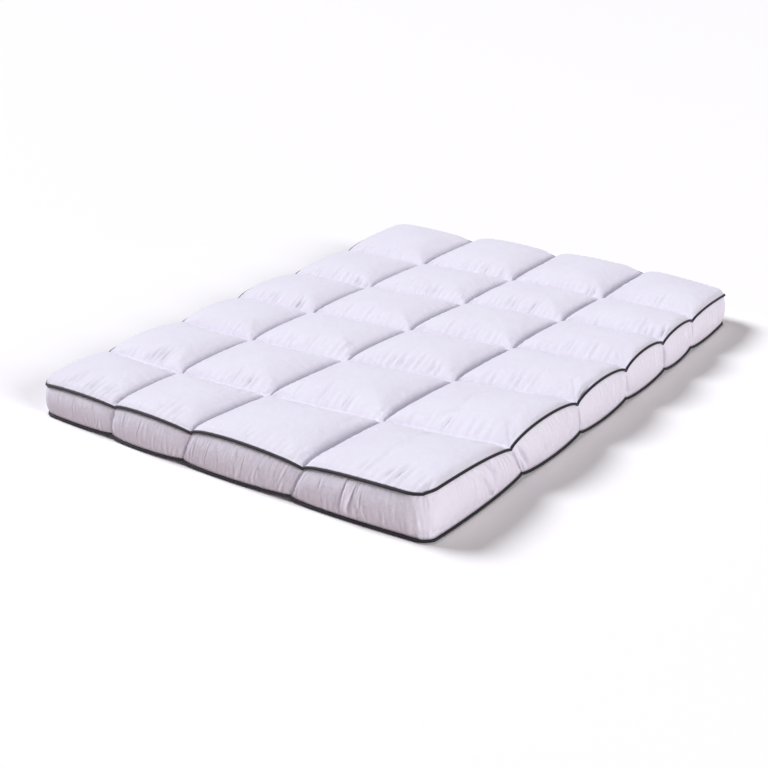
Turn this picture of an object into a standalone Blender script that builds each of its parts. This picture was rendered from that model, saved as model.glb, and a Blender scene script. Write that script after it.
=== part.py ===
"""Mattress topper: a box-quilted filled pad with a gusset round its sides and piping along both of its edges.

Metres, +Z up. The origin is on the surface that the topper lies on, under the middle of its outline. X runs
across the front edge and Y from the front edge to the back edge. The pad is worked out on one lattice: u
counts boxes from the left side to the right side, and v counts boxes from the front edge to the back edge, so
the quilting seams lie on whole numbers.
"""

import math
from collections import namedtuple

import bmesh
import bpy
import numpy as np

# Quilting seams and edges seen from above. They lie a little crooked, as on any soft pad put down by hand.
# foot is how far the seam's lower end on the gusset lies from its upper end, along the edge.
LengthwiseSeam = namedtuple("LengthwiseSeam", "name front middle back foot")
LENGTHWISE_SEAMS = (
    LengthwiseSeam("left side", -0.725, -0.740, -0.815, 0.010),
    LengthwiseSeam("first seam", -0.365, -0.405, -0.410, -0.030),
    LengthwiseSeam("second seam", -0.040, 0.000, -0.005, -0.045),
    LengthwiseSeam("third seam", 0.370, 0.385, 0.390, -0.050),
    LengthwiseSeam("right side", 0.755, 0.765, 0.735, 0.005),
)
CrossSeam = namedtuple("CrossSeam", "name left middle right foot")
CROSS_SEAMS = (
    CrossSeam("front edge", -0.955, -1.000, -1.030, 0.005),
    CrossSeam("first seam", -0.670, -0.690, -0.635, 0.060),
    CrossSeam("second seam", -0.330, -0.335, -0.265, 0.020),
    CrossSeam("third seam", -0.025, 0.005, 0.055, 0.005),
    CrossSeam("fourth seam", 0.320, 0.345, 0.340, 0.020),
    CrossSeam("fifth seam", 0.695, 0.680, 0.600, -0.005),
    CrossSeam("back edge", 1.110, 1.050, 0.955, -0.020),
)
BOXES_ACROSS = len(LENGTHWISE_SEAMS) - 1
BOXES_ALONG = len(CROSS_SEAMS) - 1
HALF_BOX = 0.5

# The top edge of each outer box, seen from outside: how far it arches up between its two seams, and out.
# The rows of each side run round the topper, with the gusset on the right hand.
EdgeArch = namedtuple("EdgeArch", "rise bulge")
FRONT_ARCHES = (
    EdgeArch(0.014, 0.004),
    EdgeArch(0.017, 0.008),
    EdgeArch(0.023, 0.006),
    EdgeArch(0.018, 0.006),
)
RIGHT_ARCHES = (
    EdgeArch(0.026, 0.011),
    EdgeArch(0.037, 0.009),
    EdgeArch(0.034, 0.007),
    EdgeArch(0.033, 0.006),
    EdgeArch(0.027, 0.007),
    EdgeArch(0.024, 0.008),
)
BACK_ARCHES = (
    EdgeArch(0.015, 0.007),
    EdgeArch(0.021, 0.008),
    EdgeArch(0.027, 0.009),
    EdgeArch(0.019, 0.006),
)
LEFT_ARCHES = (
    EdgeArch(0.020, 0.008),
    EdgeArch(0.017, 0.008),
    EdgeArch(0.023, 0.010),
    EdgeArch(0.014, 0.007),
    EdgeArch(0.012, 0.009),
    EdgeArch(0.010, 0.007),
)

# Heights above the surface
CROSSING_HEIGHT = 0.108  # where two quilting seams cross
EDGE_SEAM_HEIGHTS = {"front": 0.105, "right": 0.105, "back": 0.112, "left": 0.112}  # where one meets an edge
CORNER_HEIGHTS = {"front left": 0.094, "front right": 0.118, "back right": 0.096, "back left": 0.124}
CROWN = 0.044  # the middle of a box above its seams
CHANNEL = 0.012  # the seams of the underside above the surface
FOOT_HEIGHT = 0.0055  # the bottom piping's centre line between two seams
FOOT_LIFT = 0.008  # how much higher the seams draw it

# Fullness of a box from one seam to the next: 1 half way, 0 at the seams, steeper on the side it starts from
SKEW_ACROSS = 0.75
SKEW_ALONG = 0.85
FULLNESS = 0.70

# The underside lies flat in the middle of each box
FLAT_MARGIN = 0.25  # in boxes, from a seam to the flat part

TOP_CORNER_RADIUS = 0.055
FOOT_CORNER_RADIUS = 0.030

PIPING_RADIUS = 0.0040
PIPING_SIDES = 6
GUSSET_THICKNESS = 0.0015
GUSSET_BULGE = 0.012  # the gusset's belly in the middle of a box
GUSSET_BULGE_AT_SEAM = 0.003
GAP = 0.0004  # between the pad and the gusset

# The edge seam in section, from the piping's centre line. The pad has a groove there, down to the seam, and
# the lips of the pad and of the gusset lie above and below the piping.
GROOVE_DEPTH = 0.0065
LIP_OUT = -0.0022
LIP_UP = 0.00375

# Lattice lines within a box, in boxes from its first seam, closer together near the seams
BOX_LINES = (0.0, 0.05, 0.13, 0.27, 0.50, 0.73, 0.87, 0.95)
# The underside has only these of them, since it is flat between them
UNDERSIDE_LINES = (0.0, 0.13, 0.27, 0.73, 0.87)
GUSSET_ROWS = (0.0, 0.2, 0.5, 0.8, 1.0)  # from the top piping to the bottom piping

# name, colour, roughness
COTTON = ("white_cotton", (0.83, 0.81, 0.87), 0.85)
BINDING = ("charcoal_binding", (0.022, 0.020, 0.030), 0.75)
SHARP_ANGLE = math.radians(50)  # edges sharper than this aren't shaded smooth


def lattice_lines(boxes, lines=BOX_LINES):
    return np.array([box + line for box in range(boxes) for line in lines] + [float(boxes)])


U = lattice_lines(BOXES_ACROSS)[:, None]
V = lattice_lines(BOXES_ALONG)[None, :]


def box_and_share(place, boxes):
    """The box that each lattice line is in, and how far through it: 0 at its first seam, 1 at its last."""
    box = np.minimum(np.floor(place), boxes - 1).astype(int)
    return box, place - box


def seam_places(seams, share):
    """Each seam's place at that share of its length: a parabola through its three stated places."""
    start, middle, end = np.array([seam[1:4] for seam in seams]).T[:, :, None]
    share = share.reshape(1, -1)
    return (
        start * (1 - share) * (1 - 2 * share)
        + middle * 4 * share * (1 - share)
        + end * share * (2 * share - 1)
    )


def fullness(share, skew):
    """A box's fullness across it: a rounded hump of height 1 that stands upright on both seams."""
    turned = share**skew
    return np.maximum(4 * turned * (1 - turned), 0) ** FULLNESS


def arch_values(arches, place, boxes, column, reverse=False):
    """A column of a table of arches, at each lattice line along that side."""
    values = np.array([getattr(arch, column) for arch in arches])
    box, _ = box_and_share(place, boxes)
    return (values[::-1] if reverse else values)[box]


def edge_column(column):
    """A column of the four tables of arches: front and back by u, left and right by v."""
    return {
        "front": arch_values(FRONT_ARCHES, U, BOXES_ACROSS, column),
        "back": arch_values(BACK_ARCHES, U, BOXES_ACROSS, column, reverse=True),
        "right": arch_values(RIGHT_ARCHES, V, BOXES_ALONG, column),
        "left": arch_values(LEFT_ARCHES, V, BOXES_ALONG, column, reverse=True),
    }


def fade(distance):
    """1 at an edge, 0 from the first seam inwards."""
    return np.clip(1 - distance, 0, 1) ** 2


def round_corners(x, y, radius):
    """Each square corner of the plan made round, by pressing a square of that side into a quarter disc."""
    for at_right, at_back in ((0, 0), (1, 0), (1, 1), (0, 1)):
        corner_x, corner_y = x[-at_right, -at_back], y[-at_right, -at_back]
        outwards_x, outwards_y = 2 * at_right - 1, 2 * at_back - 1
        across = 1 - np.abs(x - corner_x) / radius
        along = 1 - np.abs(y - corner_y) / radius
        inside = (across > 0) & (along > 0)
        pressed_x = across * np.sqrt(np.maximum(1 - along**2 / 2, 0))
        pressed_y = along * np.sqrt(np.maximum(1 - across**2 / 2, 0))
        x = np.where(inside, x + outwards_x * radius * (pressed_x - across), x)
        y = np.where(inside, y + outwards_y * radius * (pressed_y - along), y)
    return x, y


def plan(foot):
    """x and y of every lattice point, of the top when foot is 0 and of the underside when it is 1."""
    box_u, share_u = box_and_share(U, BOXES_ACROSS)
    box_v, share_v = box_and_share(V, BOXES_ALONG)
    seams_x = seam_places(LENGTHWISE_SEAMS, V / BOXES_ALONG)
    seams_y = seam_places(CROSS_SEAMS, U / BOXES_ACROSS).T
    x = seams_x[box_u[:, 0]] * (1 - share_u) + seams_x[box_u[:, 0] + 1] * share_u
    y = seams_y[:, box_v[0]] * (1 - share_v) + seams_y[:, box_v[0] + 1] * share_v
    bulge = edge_column("bulge")
    across, along = fullness(share_u, SKEW_ACROSS), fullness(share_v, SKEW_ALONG)
    y = y - bulge["front"] * across * fade(V) + bulge["back"] * across * fade(BOXES_ALONG - V)
    x = x - bulge["left"] * along * fade(U) + bulge["right"] * along * fade(BOXES_ACROSS - U)
    feet_x = np.interp(U, range(BOXES_ACROSS + 1), [seam.foot for seam in LENGTHWISE_SEAMS])
    feet_y = np.interp(V, range(BOXES_ALONG + 1), [seam.foot for seam in CROSS_SEAMS])
    x = x + foot * feet_x * fade(V)
    y = y + foot * feet_y * fade(BOXES_ACROSS - U)
    return round_corners(x, y, FOOT_CORNER_RADIUS if foot else TOP_CORNER_RADIUS)


def seam_heights(crossing, edges, corners):
    """A height for every lattice point, straight from seam to seam, from the heights where seams meet."""
    nodes = np.full((BOXES_ACROSS + 1, BOXES_ALONG + 1), crossing)
    nodes[:, 0], nodes[-1, :], nodes[:, -1], nodes[0, :] = (
        edges[side] for side in ("front", "right", "back", "left")
    )
    nodes[0, 0], nodes[-1, 0] = corners["front left"], corners["front right"]
    nodes[-1, -1], nodes[0, -1] = corners["back right"], corners["back left"]
    box_u, share_u = box_and_share(U, BOXES_ACROSS)
    box_v, share_v = box_and_share(V, BOXES_ALONG)
    near = nodes[box_u, box_v] * (1 - share_u) + nodes[box_u + 1, box_v] * share_u
    far = nodes[box_u, box_v + 1] * (1 - share_u) + nodes[box_u + 1, box_v + 1] * share_u
    return near * (1 - share_v) + far * share_v


def lifted(full, distance_first, distance_last, first, last):
    """A fullness that starts and ends at the outer edges from the arch there, instead of from nothing."""
    full = np.where(distance_first < HALF_BOX, first + (1 - first) * full, full)
    return np.where(distance_last < HALF_BOX, last + (1 - last) * full, full)


def top_heights():
    """The quilted top: the crown of each box on the level of its seams, and the arches of the outer edge."""
    rise = edge_column("rise")
    _, share_u = box_and_share(U, BOXES_ACROSS)
    _, share_v = box_and_share(V, BOXES_ALONG)
    across = lifted(
        fullness(share_u, SKEW_ACROSS), U, BOXES_ACROSS - U, rise["left"] / CROWN, rise["right"] / CROWN
    )
    along = lifted(
        fullness(share_v, SKEW_ALONG), V, BOXES_ALONG - V, rise["front"] / CROWN, rise["back"] / CROWN
    )
    return seam_heights(CROSSING_HEIGHT, EDGE_SEAM_HEIGHTS, CORNER_HEIGHTS) + CROWN * across * along


def flatness(share, place, boxes):
    """1 where the underside lies flat, 0 at a seam, and 1 all the way out at the outer edges."""
    ramp = np.clip(np.minimum(share, 1 - share) / FLAT_MARGIN, 0, 1)
    smooth = ramp * ramp * (3 - 2 * ramp)
    return np.where((place < HALF_BOX) | (place > boxes - HALF_BOX), 1.0, smooth)


def underside_heights():
    """The underside: flat on the surface in the middle of each box, a shallow channel along each seam."""
    _, share_u = box_and_share(U, BOXES_ACROSS)
    _, share_v = box_and_share(V, BOXES_ALONG)
    flat = flatness(share_u, U, BOXES_ACROSS) * flatness(share_v, V, BOXES_ALONG)
    return CHANNEL * (1 - flat)


def foot_heights():
    """The bottom piping's height: low between two seams and at the corners, and drawn up at each seam."""
    edges, corners = dict.fromkeys(EDGE_SEAM_HEIGHTS, FOOT_LIFT), dict.fromkeys(CORNER_HEIGHTS, 0.0)
    lift = seam_heights(0.0, edges, corners)
    _, share_u = box_and_share(U, BOXES_ACROSS)
    _, share_v = box_and_share(V, BOXES_ALONG)
    full = np.maximum(fullness(share_u, SKEW_ACROSS), fullness(share_v, SKEW_ALONG))
    return FOOT_HEIGHT + lift * (1 - full)


def rim_index():
    """The lattice points of the outer edge, round the topper from the front left corner."""
    last_u, last_v = U.size - 1, V.size - 1
    front = [(i, 0) for i in range(last_u)]
    right = [(last_u, j) for j in range(last_v)]
    back = [(i, last_v) for i in range(last_u, 0, -1)]
    left = [(0, j) for j in range(last_v, 0, -1)]
    return np.array(front + right + back + left).T


def unit(vectors):
    return vectors / np.linalg.norm(vectors, axis=-1, keepdims=True)


class Edge:
    """A piping's centre line round the topper, with the outward and upward directions at each point."""

    def __init__(self, x, y, z):
        rows, columns = rim_index()
        self.line = np.stack([a[rows, columns] for a in (x, y, z)], axis=1)
        ahead = unit(np.roll(self.line, -1, axis=0) - self.line)
        along = unit(ahead + np.roll(ahead, 1, axis=0))
        self.out = unit(np.stack([along[:, 1], -along[:, 0], np.zeros(len(along))], axis=1))
        self.up = np.cross(self.out, along)

    def beside(self, out, up):
        return self.line + out * self.out + up * self.up


def gusset_rows(top, foot):
    """The gusset's outer face as rows of points, from its top seam to its bottom seam, and which way is out.
    It is bellied between the quilting seams and drawn in at each of them."""
    rows, columns = rim_index()
    _, share_u = box_and_share(U, BOXES_ACROSS)
    _, share_v = box_and_share(V, BOXES_ALONG)
    full = np.maximum(fullness(share_u, SKEW_ACROSS), fullness(share_v, SKEW_ALONG))
    full = full[rows, columns, None]
    belly = GUSSET_BULGE_AT_SEAM + (GUSSET_BULGE - GUSSET_BULGE_AT_SEAM) * full
    first, last = top.beside(LIP_OUT, -LIP_UP), foot.beside(LIP_OUT, LIP_UP)
    out = unit(top.out + foot.out)
    return [
        first * (1 - row) + last * row + out * belly * math.sin(math.pi * row) for row in GUSSET_ROWS
    ], out


def add_points(mesh, points):
    return [mesh.verts.new(point) for point in points]


def add_strip(mesh, upper, lower, rising=False):
    """Triangles between two closed loops of as many points, the outer side on the right of the way round.
    Their diagonals fall along the way round, or rise, so that two skins one behind the other can match."""
    for k, vert in enumerate(upper):
        n = (k + 1) % len(upper)
        corners = (vert, lower[k], lower[n], upper[n])
        for pick in ((0, 1, 3), (1, 2, 3)) if rising else ((0, 1, 2), (0, 2, 3)):
            mesh.faces.new([corners[p] for p in pick])


def rim_between(start, end):
    """The lattice points from start to just before end along the rim, or start alone inside it."""
    steps = max(abs(end[0] - start[0]), abs(end[1] - start[1]))
    on_rim = (start[0] == end[0] and start[0] in (0, U.size - 1)) or (
        start[1] == end[1] and start[1] in (0, V.size - 1)
    )
    if not on_rim:
        return [start]
    step = ((end[0] - start[0]) // steps, (end[1] - start[1]) // steps)
    return [(start[0] + k * step[0], start[1] + k * step[1]) for k in range(steps)]


def add_panel(mesh, points, rim, lines_u, lines_v, downwards):
    """A panel on the given lattice lines, whose outer cells take in every point of the rim."""
    verts = dict(zip(map(tuple, rim_index().T), rim))
    for i in lines_u[1:-1]:
        for j in lines_v[1:-1]:
            verts[(i, j)] = mesh.verts.new(points[i, j])
    for left, right in zip(lines_u, lines_u[1:]):
        for near, far in zip(lines_v, lines_v[1:]):
            corners = [(left, near), (right, near), (right, far), (left, far)]
            ring = [p for k in range(4) for p in rim_between(corners[k], corners[(k + 1) % 4])]
            mesh.faces.new([verts[p] for p in (ring[::-1] if downwards else ring)])


def underside_lines(places, boxes):
    wanted = lattice_lines(boxes, UNDERSIDE_LINES)
    return [k for k, place in enumerate(places.ravel()) if np.isclose(place, wanted).any()]


def principled(name, colour, roughness):
    material = bpy.data.materials.new(name)
    material.use_nodes = True
    shader = material.node_tree.nodes["Principled BSDF"]
    shader.inputs["Base Color"].default_value = (*colour, 1.0)
    shader.inputs["Roughness"].default_value = roughness
    shader.inputs["Metallic"].default_value = 0.0
    return material


def add_object(name, mesh, material):
    """Turns the bmesh into an object of that name, shaded smooth."""
    data = bpy.data.meshes.new(name)
    mesh.to_mesh(data)
    mesh.free()
    data.shade_smooth()
    data.set_sharp_from_angle(angle=SHARP_ANGLE)
    data.materials.append(material)
    made = bpy.data.objects.new(name, data)
    bpy.context.scene.collection.objects.link(made)
    return made


def add_pad(top, foot, top_points, underside_points, rows, out, cotton):
    """The filled pad: quilted top, side behind the gusset and underside, with a groove for each piping."""
    mesh = bmesh.new()
    loops = [top.beside(LIP_OUT, LIP_UP), top.beside(-GROOVE_DEPTH, 0.0)]
    loops += [row - out * (GUSSET_THICKNESS + GAP) for row in rows]
    loops += [foot.beside(-GROOVE_DEPTH, 0.0), foot.beside(LIP_OUT, -LIP_UP)]
    rims = [add_points(mesh, loop) for loop in loops]
    for upper, lower in zip(rims, rims[1:]):
        add_strip(mesh, upper, lower)
    add_panel(mesh, top_points, rims[0], range(U.size), range(V.size), downwards=False)
    lines_u = underside_lines(U, BOXES_ACROSS)
    lines_v = underside_lines(V, BOXES_ALONG)
    add_panel(mesh, underside_points, rims[-1], lines_u, lines_v, downwards=True)
    return add_object("quilted_pad", mesh, cotton)


def add_gusset(rows, out, cotton):
    """The gusset, a closed band of cloth round the pad's side."""
    mesh = bmesh.new()
    outer = [add_points(mesh, row) for row in rows]
    inner = [add_points(mesh, row - out * GUSSET_THICKNESS) for row in rows]
    section = outer + inner[::-1]
    for k, upper in enumerate(section):
        add_strip(mesh, upper, section[(k + 1) % len(section)], rising=k >= len(outer))
    return add_object("gusset", mesh, cotton)


def add_piping(name, edge, binding):
    """A covered piping cord, closed round the topper."""
    mesh = bmesh.new()
    turns = [2 * math.pi * k / PIPING_SIDES for k in range(PIPING_SIDES)]
    loops = [
        add_points(mesh, edge.beside(PIPING_RADIUS * math.cos(turn), -PIPING_RADIUS * math.sin(turn)))
        for turn in turns
    ]
    for k, upper in enumerate(loops):
        add_strip(mesh, upper, loops[(k + 1) % len(loops)])
    return add_object(name, mesh, binding)


def centred(x, y, edges_x, edges_y):
    """x and y moved so that the middle of the outline is at the origin."""
    return x - (edges_x.min() + edges_x.max()) / 2, y - (edges_y.min() + edges_y.max()) / 2


def main():
    for startup in list(bpy.data.objects):
        bpy.data.objects.remove(startup, do_unlink=True)

    top_x, top_y = plan(foot=0)
    foot_x, foot_y = plan(foot=1)
    outline_x, outline_y = np.stack([top_x, foot_x]), np.stack([top_y, foot_y])
    top_x, top_y = centred(top_x, top_y, outline_x, outline_y)
    foot_x, foot_y = centred(foot_x, foot_y, outline_x, outline_y)

    top_z = top_heights()
    top = Edge(top_x, top_y, top_z)
    foot = Edge(foot_x, foot_y, foot_heights())
    rows, out = gusset_rows(top, foot)

    cotton, binding = principled(*COTTON), principled(*BINDING)
    top_points = np.stack([top_x, top_y, top_z], axis=-1)
    underside_points = np.stack([foot_x, foot_y, underside_heights()], axis=-1)
    add_pad(top, foot, top_points, underside_points, rows, out, cotton)
    add_gusset(rows, out, cotton)
    add_piping("piping_top", top, binding)
    add_piping("piping_bottom", foot, binding)


main()
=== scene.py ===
"""Mattress topper: the looks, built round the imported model.

The filled pad, the gusset and the two pipings are worked out on one lattice of quilting seams, as in the
model: u counts boxes across, v counts boxes along, so the seams lie on whole numbers. The cotton's puckers
are drawn beside the seams, and Blender's cloth simulation then lets the top and the gusset swell between
them. Metres, +Z up.
"""

import math
from collections import namedtuple

import bpy
import numpy as np
from mathutils import Matrix, Vector


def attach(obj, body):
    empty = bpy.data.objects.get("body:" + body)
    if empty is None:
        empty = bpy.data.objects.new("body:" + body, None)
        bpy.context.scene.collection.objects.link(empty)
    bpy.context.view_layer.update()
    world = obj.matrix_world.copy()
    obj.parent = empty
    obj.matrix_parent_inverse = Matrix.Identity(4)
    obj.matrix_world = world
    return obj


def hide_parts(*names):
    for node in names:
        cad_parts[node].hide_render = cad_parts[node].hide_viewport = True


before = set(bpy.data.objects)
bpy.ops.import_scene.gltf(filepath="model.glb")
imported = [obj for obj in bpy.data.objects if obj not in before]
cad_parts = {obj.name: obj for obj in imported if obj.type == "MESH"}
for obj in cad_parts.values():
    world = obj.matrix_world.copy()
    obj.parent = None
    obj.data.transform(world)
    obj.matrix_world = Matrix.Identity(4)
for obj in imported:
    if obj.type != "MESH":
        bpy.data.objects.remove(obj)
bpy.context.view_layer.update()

# ---------------------------------------------------------------- the topper's own sizes, as in the model

LengthwiseSeam = namedtuple("LengthwiseSeam", "name front middle back foot")
LENGTHWISE_SEAMS = (
    LengthwiseSeam("left side", -0.725, -0.740, -0.815, 0.010),
    LengthwiseSeam("first seam", -0.365, -0.405, -0.410, -0.030),
    LengthwiseSeam("second seam", -0.040, 0.000, -0.005, -0.045),
    LengthwiseSeam("third seam", 0.370, 0.385, 0.390, -0.050),
    LengthwiseSeam("right side", 0.755, 0.765, 0.735, 0.005),
)
CrossSeam = namedtuple("CrossSeam", "name left middle right foot")
CROSS_SEAMS = (
    CrossSeam("front edge", -0.955, -1.000, -1.030, 0.005),
    CrossSeam("first seam", -0.670, -0.690, -0.635, 0.060),
    CrossSeam("second seam", -0.330, -0.335, -0.265, 0.020),
    CrossSeam("third seam", -0.025, 0.005, 0.055, 0.005),
    CrossSeam("fourth seam", 0.320, 0.345, 0.340, 0.020),
    CrossSeam("fifth seam", 0.695, 0.680, 0.600, -0.005),
    CrossSeam("back edge", 1.110, 1.050, 0.955, -0.020),
)
BOXES_ACROSS = len(LENGTHWISE_SEAMS) - 1
BOXES_ALONG = len(CROSS_SEAMS) - 1
HALF_BOX = 0.5

# How far the top edge of each outer box arches up and out between its seams, going round the topper
EdgeArch = namedtuple("EdgeArch", "rise bulge")
FRONT_ARCHES = (
    EdgeArch(0.014, 0.004),
    EdgeArch(0.017, 0.008),
    EdgeArch(0.023, 0.006),
    EdgeArch(0.018, 0.006),
)
RIGHT_ARCHES = (
    EdgeArch(0.026, 0.011),
    EdgeArch(0.037, 0.009),
    EdgeArch(0.034, 0.007),
    EdgeArch(0.033, 0.006),
    EdgeArch(0.027, 0.007),
    EdgeArch(0.024, 0.008),
)
BACK_ARCHES = (
    EdgeArch(0.015, 0.007),
    EdgeArch(0.021, 0.008),
    EdgeArch(0.027, 0.009),
    EdgeArch(0.019, 0.006),
)
LEFT_ARCHES = (
    EdgeArch(0.020, 0.008),
    EdgeArch(0.017, 0.008),
    EdgeArch(0.023, 0.010),
    EdgeArch(0.014, 0.007),
    EdgeArch(0.012, 0.009),
    EdgeArch(0.010, 0.007),
)

CROSSING_HEIGHT = 0.108
EDGE_SEAM_HEIGHTS = {"front": 0.105, "right": 0.105, "back": 0.112, "left": 0.112}
CORNER_HEIGHTS = {"front left": 0.094, "front right": 0.118, "back right": 0.096, "back left": 0.124}
CROWN = 0.044  # of a box, above its seams
CHANNEL = 0.012  # depth of the underside's channels
FOOT_HEIGHT = 0.0055  # of the bottom piping's centre line
FOOT_LIFT = 0.008  # how far it is drawn up at each seam
SKEW_ACROSS = 0.75  # below 1, a crown's top lies nearer the left end of its box
SKEW_ALONG = 0.85  # and nearer its front
FULLNESS = 0.70  # power of the crown's hump: the lower, the boxier
FLAT_MARGIN = 0.25  # in boxes, how wide each slope of a channel is
CORNER_STEPS = 12  # lattice lines from a corner to where its two edges take their directions
TOP_CORNER_RADIUS = 0.055
FOOT_CORNER_RADIUS = 0.030
PIPING_RADIUS = 0.0040
GUSSET_THICKNESS = 0.0015
GUSSET_BULGE = 0.012
GUSSET_BULGE_AT_SEAM = 0.003
GROOVE_DEPTH = 0.0065  # behind each piping's centre line
SIDE_DEPTH = 0.022  # the pad's side lies this far behind the pipings, clear of the gusset's folds
LIP_OUT = -0.0022  # where the cotton meets each piping, beside its centre line
LIP_UP = 0.00375

# ---------------------------------------------------------------- how finely it is worked out

LINES_ACROSS = 72  # lattice lines in a box, across
LINES_ALONG = 48  # and along
CROWDING_ACROSS = 0.20  # how much closer together they are at the seams
CROWDING_ALONG = 0.40
UNDERSIDE_STEP = 4  # the underside has every fourth line
GUSSET_ROWS = 13
GUSSET_LINES = 4700  # round the topper
GUSSET_PLACE_STEP = 0.125  # in points of the rim, how finely their places are counted
FOLD_CROWDING = 3.0  # how many times closer together they are within a reach of a fold or a seam
FOLD_REACH = 0.010
PIPING_SIDES = 12

# ---------------------------------------------------------------- blowing it up

SIM_FRAMES = 10
SIM_PRESSURE = 20.0
SIM_TENSION = 30.0
SIM_SHEAR = 10.0
SIM_BENDING = 0.01
SIM_DAMPING = 5.0
SIM_AIR_DAMPING = 2
SIM_MASS = 0.15
SIM_QUALITY = 5

# The seam's thread draws it in, and gathers the cotton beside it: each pucker has its own width, length and
# height, in metres
SEED = 7
SEAM_DEPTH = 0.006
SEAM_DEPTH_FADE = 0.12  # in boxes, from the edge seam
PuckerSizes = namedtuple("PuckerSizes", "pitch length height")
TOP_PUCKERS = PuckerSizes((0.014, 0.034), (0.050, 0.160), (0.0002, 0.0050))
GUSSET_PUCKERS = PuckerSizes((0.009, 0.024), (0.040, 0.110), (0.0002, 0.0028))
PUCKER_RARITY = 1.6  # the higher this power, the fewer high puckers
PUCKER_PEAK = 6.75  # brings the highest point of r (1 - r)^2 to 1
# The share of that height that shows on the gusset half-way between two seams, on the top beside the
# lengthwise seams and on the near side of the cross seams, and on their far side at the left end of a box
PUCKER_SHARE_MID_GUSSET = 0.45
PUCKER_SHARE_LENGTHWISE = 0.4
PUCKER_SHARE_NEAR = 0.4
PUCKER_SHARE_LEFT = 0.35
LEFT_END = 0.1  # in boxes
LEFT_END_FADE = 0.4  # in boxes, beyond the left end
SIM_START_CROWN = 0.75  # share of the crown that it starts from
SIM_START_FULLNESS = 0.50  # boxier than it ends
START_FADE = 0.15  # in boxes, from the edge seams
SPARE_CLOTH = (0.010, 0.050)  # spare share of the cotton's length in the middle of a box and at its seams
SPARE_REACH = 0.18  # in boxes, how far from a seam the spare length is eased in
MOST_MOVE = 0.030  # no point of the cotton moves further
BOX_HEIGHT = 0.055  # above its seams
BOX_POWER = 0.78  # below 1, the filling rounds the boxes out beside their seams
BOX_FADE = 0.06  # in boxes, from the edge seams

# Folds of the gusset: how far round the topper from its front left corner they lie at the top and at the
# foot, in metres, their depth (a ridge's is negative) and width, and where they start and end as a share of
# the way down
GussetFold = namedtuple("GussetFold", "name way_top way_foot depth width start end")
GUSSET_FOLDS = (
    GussetFold("second front box, left", 0.420, 0.428, 0.0025, 0.0036, 0.0, 0.6),
    GussetFold("second front box, right", 0.492, 0.486, 0.0029, 0.0032, 0.0, 0.7),
    GussetFold("beyond the second front seam", 0.735, 0.724, 0.0029, 0.0036, 0.0, 0.8),
    GussetFold("third front box, left", 0.785, 0.777, 0.0038, 0.0036, 0.0, 1.0),
    GussetFold("third front box, middle", 0.915, 0.918, 0.0029, 0.0032, 0.2, 1.0),
    GussetFold("front corner box, left of the pinch", 1.258, 1.251, 0.0075, 0.0042, -0.05, 1.1),
    GussetFold("front corner box, right of the pinch", 1.292, 1.274, 0.0070, 0.0036, -0.05, 0.9),
    GussetFold("front corner box, ridge of the pinch", 1.274, 1.263, -0.0040, 0.0070, -0.1, 1.0),
    GussetFold("first side box, ridge of the pinch", 1.722, 1.720, -0.0060, 0.0130, 0.0, 1.0),
    GussetFold("first side box, near line of the pinch", 1.676, 1.715, 0.0110, 0.0060, 0.15, 1.1),
    GussetFold("first side box, far line of the pinch", 1.758, 1.728, 0.0165, 0.0075, -0.05, 1.0),
    GussetFold("beyond the first side seam", 1.892, 1.912, 0.0110, 0.0065, -0.1, 0.9),
    GussetFold("second side box, left", 2.000, 2.006, 0.0058, 0.0061, 0.1, 1.0),
    GussetFold("second side box, foot", 2.155, 2.150, 0.0058, 0.0060, 0.55, 1.1),
    GussetFold("third side box, middle", 2.490, 2.494, 0.0049, 0.0060, 0.2, 0.8),
    GussetFold("third side box, right", 2.550, 2.556, 0.0065, 0.0060, 0.0, 0.9),
    GussetFold("across the third side seam", 2.568, 2.614, 0.0110, 0.0065, 0.0, 1.0),
    GussetFold("fourth side box, middle", 2.790, 2.790, 0.0065, 0.0060, 0.1, 1.0),
    GussetFold("fourth side box, right", 2.852, 2.850, 0.0065, 0.0060, 0.0, 1.0),
    GussetFold("before the fourth side seam", 2.880, 2.870, 0.0190, 0.0085, -0.1, 1.1),
)
SEAM_CREASE = GussetFold("at each seam", 0.0, 0.0, 0.0070, 0.0060, -0.2, 1.2)
FOLD_FADE = 0.2  # how gently each fold starts and ends, as a share of the way down
LIP_FADE = 0.12  # how far from each piping the folds and puckers are eased in, as such a share

# The soft crease down the middle of the two boxes at the front right, from seam to seam: places in boxes
LongCrease = namedtuple("LongCrease", "name across along depth width")
LONG_CREASES = (
    LongCrease("front box", (3.55, 3.50, 3.52, 3.50, 3.42), (0.14, 0.40, 0.55, 0.78, 0.97), 0.0036, 0.007),
    LongCrease("second box", (3.38, 3.42, 3.48, 3.43, 3.50), (1.04, 1.18, 1.28, 1.52, 1.75), 0.0036, 0.007),
)
CREASE_FADE = 0.12  # in boxes, at each end

SIDE_ON_CLOTH = 3.0  # where the pad's side and its underside start on the cloth, clear of its top
UNDERSIDE_ON_CLOTH = 5.0
STITCH = 0.0034  # length of each
STITCH_PITCH = 0.0040
STITCH_MARGIN = 0.012  # from the ends of a seam
THREAD_RADIUS = 0.0004

# ---------------------------------------------------------------- colours, sRGB

COTTON_LIGHT = "#ECEAF3"
COTTON_SHADE = "#E4DEEA"
THREAD = "#E9E6F0"
BINDING_DARK = "#0F0C15"
BINDING_LIGHT = "#1E1A26"
FLOOR = "#FFFDFC"
FLOOR_GLOW = "#DDD1CF"

WEAVE_PITCH = 0.0012  # real threads lie 0.25 mm apart; these are drawn coarser so that they can show
RIB_PITCH = 0.0011
WAVE_SCALE = 20  # a Wave texture's phase in radians, one metre on, at a scale of 1


# ================================================================ shape


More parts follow.
